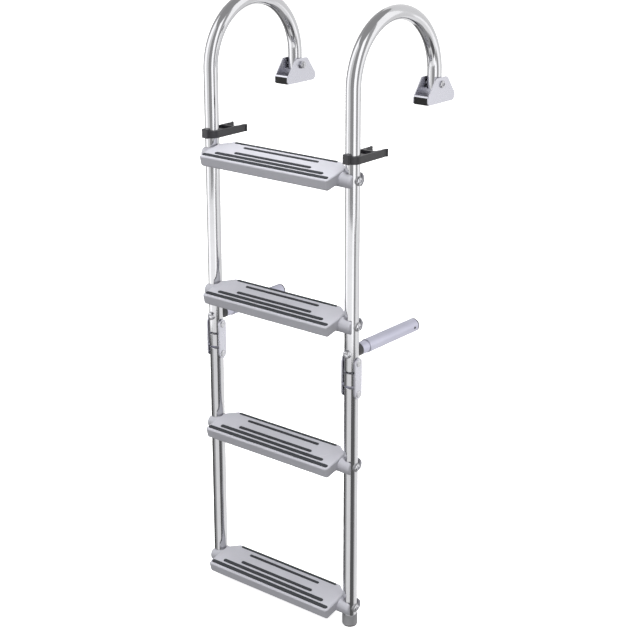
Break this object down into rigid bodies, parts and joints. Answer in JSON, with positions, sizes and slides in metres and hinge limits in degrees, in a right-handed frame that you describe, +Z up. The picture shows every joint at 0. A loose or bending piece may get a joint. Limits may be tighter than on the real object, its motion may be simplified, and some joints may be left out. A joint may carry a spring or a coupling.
{
  "type": "boat boarding ladder",
  "caption": "Hook-on boarding ladder of polished tube with wide moulded steps; the hinged lower half folds up in front, struts hold it off the hull.",
  "frame": {"origin": "midway between the two hook feet, on the plane their rubber soles rest on, in line with the foot bolts", "axes": "+Z up along the stiles, +Y inboard over the deck, -Y the climber's side, +X the ladder's right as seen from the climber's side"},
  "size_m": [0.35, 0.3157, 1.085],
  "materials": {
    "polished_tube": "mirror-polished stainless tube",
    "pressed_steel": "tumbled stainless pressing",
    "satin_tube": "satin stainless tube",
    "fastener": "plain turned stainless",
    "rung_core": "mill finish bar",
    "tread_plastic": "light grey fine-grained moulding",
    "grey_plastic": "mid grey moulding",
    "black_plastic": "black moulding",
    "grip_rubber": "charcoal grip strip",
    "black_rubber": "black moulded rubber"
  },
  "bodies": {
    "frame": {"stile_upper_left": "polished_tube", "stile_upper_right": "polished_tube", "hook_end_plug_left": "black_plastic", "hook_end_plug_right": "black_plastic", "tread_1": "tread_plastic", "tread_2": "tread_plastic", "grip_strips_1": "grip_rubber", "grip_strips_2": "grip_rubber", "rung_bar_1": "rung_core", "rung_bar_2": "rung_core", "tread_screws_upper": "fastener", "screw_saddles_upper": "black_plastic", "hinge_plugs_upper": "pressed_steel", "standoff_saddle_left": "black_plastic", "standoff_saddle_right": "black_plastic", "standoff_tube_left": "satin_tube", "standoff_tube_right": "satin_tube", "standoff_insert_left": "satin_tube", "standoff_insert_right": "satin_tube", "standoff_sleeve_left": "satin_tube", "standoff_sleeve_right": "satin_tube", "standoff_tip_left": "black_rubber", "standoff_tip_right": "black_rubber", "standoff_bolt_left": "fastener", "standoff_bolt_right": "fastener"},
    "hinge_links": {"hinge_link_left": "pressed_steel", "hinge_link_right": "pressed_steel", "hinge_pins_upper": "fastener", "hinge_pins_lower": "fastener"},
    "lower_section": {"stile_lower_left": "polished_tube", "stile_lower_right": "polished_tube", "tread_3": "tread_plastic", "tread_4": "tread_plastic", "grip_strips_3": "grip_rubber", "grip_strips_4": "grip_rubber", "rung_bar_3": "rung_core", "rung_bar_4": "rung_core", "tread_screws_lower": "fastener", "screw_saddles_lower": "black_plastic", "hinge_plugs_lower": "pressed_steel", "end_cap_left": "grey_plastic", "end_cap_right": "grey_plastic", "end_pad_left": "black_rubber", "end_pad_right": "black_rubber"},
    "foot_left": {"foot_bracket_left": "pressed_steel", "foot_pad_left": "black_rubber", "foot_bolt_left": "fastener", "foot_nut_left": "fastener"},
    "fold_clip_left": {"clip_left": "black_plastic"},
    "foot_right": {"foot_bracket_right": "pressed_steel", "foot_pad_right": "black_rubber", "foot_bolt_right": "fastener", "foot_nut_right": "fastener"},
    "fold_clip_right": {"clip_right": "black_plastic"}
  },
  "joints": [
    {"name": "link_swing", "type": "hinge", "parent": "frame", "child": "hinge_links", "pos_m": [0, -0.225, -0.408], "axis": [-1, 0, 0], "range_deg": [0, 90]},
    {"name": "lower_swing", "type": "hinge", "parent": "hinge_links", "child": "lower_section", "pos_m": [0, -0.225, -0.464], "axis": [-1, 0, 0], "range_deg": [0, 90]},
    {"name": "foot_left_swivel", "type": "hinge", "parent": "frame", "child": "foot_left", "pos_m": [-0.155, 0, 0.032], "axis": [1, 0, 0], "range_deg": [-35, 35]},
    {"name": "foot_right_swivel", "type": "hinge", "parent": "frame", "child": "foot_right", "pos_m": [0.155, 0, 0.032], "axis": [1, 0, 0], "range_deg": [-35, 35]},
    {"name": "clip_left_turn", "type": "hinge", "parent": "frame", "child": "fold_clip_left", "pos_m": [-0.155, -0.225, -0.059], "axis": [0, 0, 1], "range_deg": [0, 180]},
    {"name": "clip_right_turn", "type": "hinge", "parent": "frame", "child": "fold_clip_right", "pos_m": [0.155, -0.225, -0.059], "axis": [0, 0, -1], "range_deg": [0, 180]}
  ]
}
